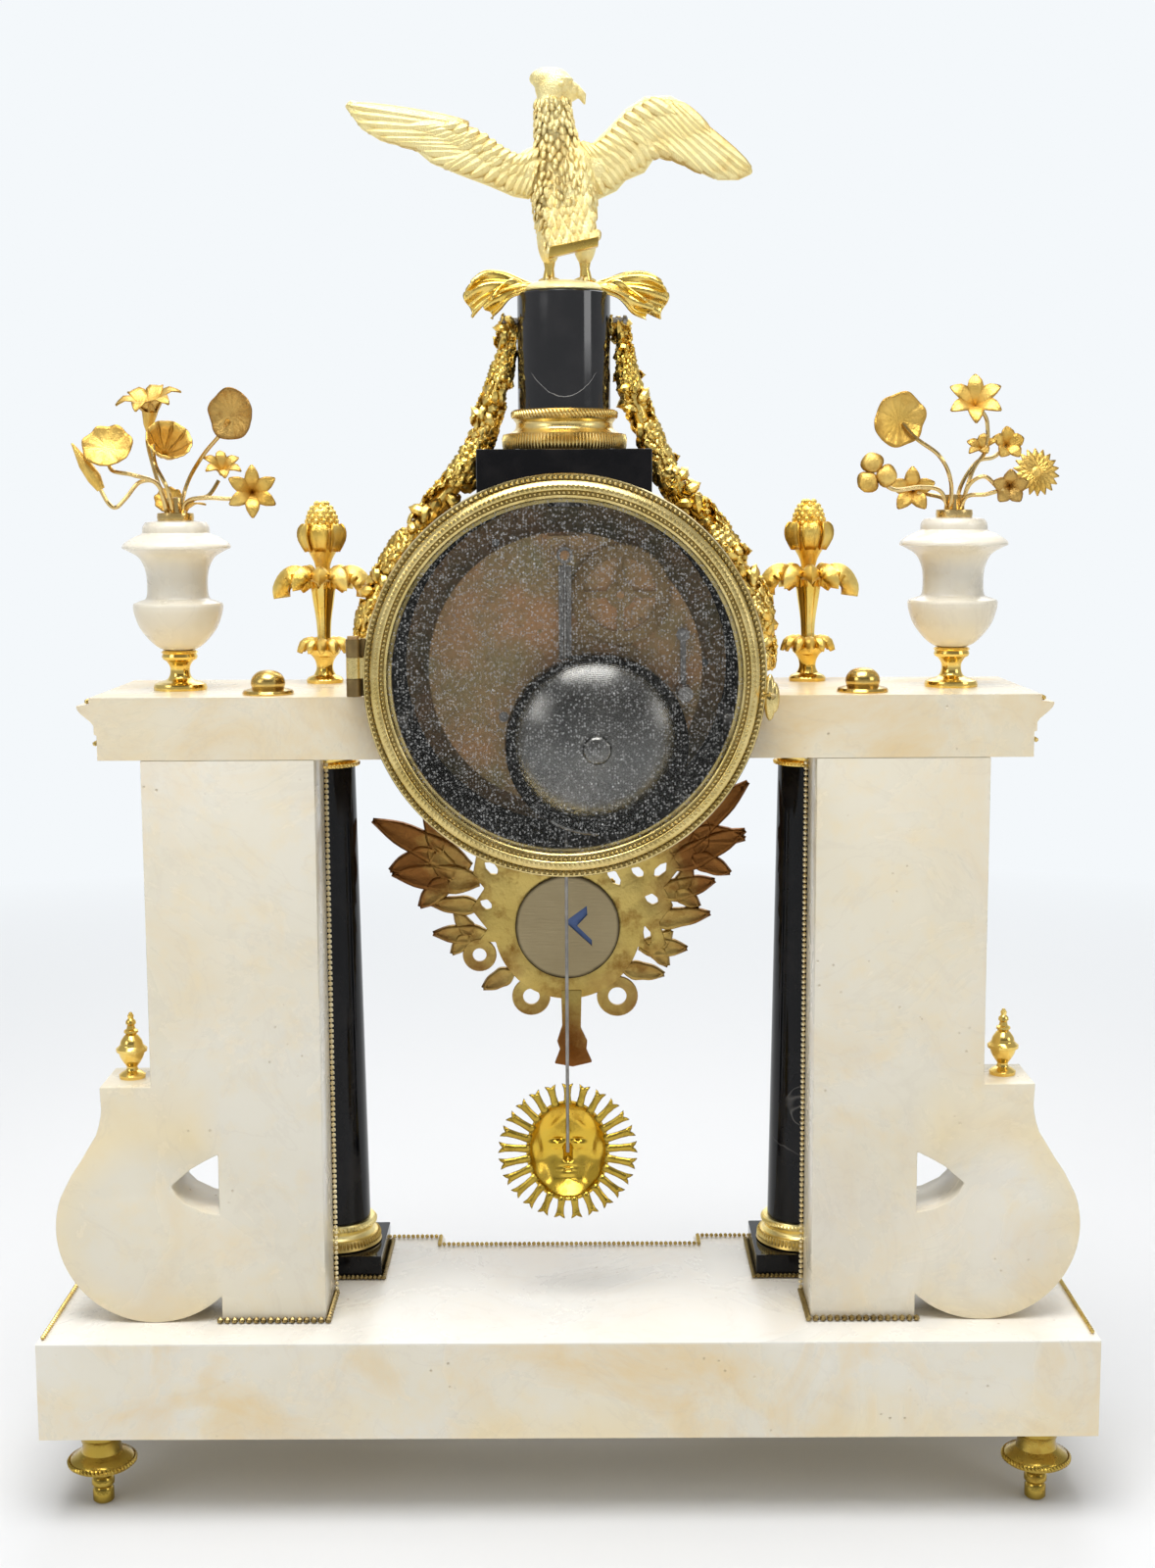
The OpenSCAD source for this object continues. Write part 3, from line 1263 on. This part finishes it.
fly_gap = 0.4;
module pin_wheel() {
  color(brass) {
    arbor(p_pin, front_plate_in + 0.3, back_plate_in - 0.3);
    gear(p_pin, 8, m_strike, second_y - 1.5, second_y + 3, turn_pin);
    wheel(p_pin, 64, m_pin, pin_y, pin_y + 1.2, 0);
    for (i = [0 : pin_count - 1]) rod_y(p_pin + polar(pin_ring, i * 360 / pin_count), 0.7, pin_y - pin_len, pin_y + eps);
  }
}
module fly() {
  color(brass) {
    arbor(p_fly, front_plate_in + 0.3, back_plate_in - 0.3, fine_arbor_r);
    gear(p_fly, 8, m_pin, pin_y - 1, pin_y + 2.5, turn_fly);
    plate_y(p_fly, fly_y, pin_y - pin_len - fly_gap) rotate(30) square([15, 0.8], center = true);
  }
}
module count_wheel() {
  color(brass) difference() {
    plate_y(p_count, count_y0, count_y1) difference() {
      rotate(turn_count) gear_shape(80, m_count);
      crossings(m_count * 40 * 0.92);
    }
    rod_y(p_count, count_stud_r + run_fit, count_y0 - 1, count_y1 + 1);
  }
}
hammer_y = 11;
module hammer() {
  tail_y0 = pin_y - 3.6;
  arm = p_head - p_hammer;
  color(steel) {
    rod_y(p_hammer, arbor_r, front_plate_in + 0.3, hammer_y + 1.5);
    rod_y(p_hammer, pivot_r, front_plate_y, front_plate_in + 1);
    plate_y(p_hammer, tail_y0, tail_y0 + 2) {
      circle(r = 2.6);
      polygon([[0, -1], [5.6, 1], [5.8, 2.4], [0, 1.6]]);
    }
    plate_y(p_hammer, hammer_y, hammer_y + 1.5) {
      circle(r = 2.6);
      rotate(bearing([0, 0], arm)) translate([0, -1.1]) square([norm(arm), 2.2]);
    }
    rod_y(p_head, hammer_r, hammer_y, bell_y + 5);
  }
}
bell_t = 1.6;
bell_post_r = 2;
module bell() {
  color(steel) turned_y(p_bell, bell_y) polygon(concat(
    [for (a = [0 : 6 : 84]) [bell_r * cos(a), bell_deep * sin(a)]],
    [[bell_post_r + run_fit, bell_deep], [bell_post_r + run_fit, bell_deep - bell_t]],
    [for (a = [84 : -6 : 0]) [(bell_r - bell_t) * cos(a), (bell_deep - bell_t) * sin(a)]]
  ));
}

base_plinth();
feet();
left_pilaster();
right_pilaster();
column_plinths();
column_bases();
columns();
column_capitals();
left_entablature();
right_entablature();
tie_rods();
dome_nuts();
pinecone_finials();
volute_finials();
vases();
vase_socles();
bouquets();
drum_case();
fasteners();
drum_pedestal();
pedestal_moulding();
eagle_column();
eagle_drapery();
eagle();
garlands();
swag_plaque();
medallion();
base_beading();
pilaster_beading();
entablature_beading();
rear_bezel();
rear_glass();
front_bezel();
front_glass();
hinge_pins();
dial();
hour_hand();
minute_hand();
front_plate();
back_plate();
pillars();
going_barrel();
strike_barrel();
winding_arbors();
intermediate_wheel();
centre_wheel();
third_wheel();
escape_wheel();
pallet_anchor();
suspension_cock();
pendulum_rod();
pendulum_bob();
minute_wheel();
hour_wheel();
strike_wheel();
pin_wheel();
fly();
count_wheel();
hammer();
bell();
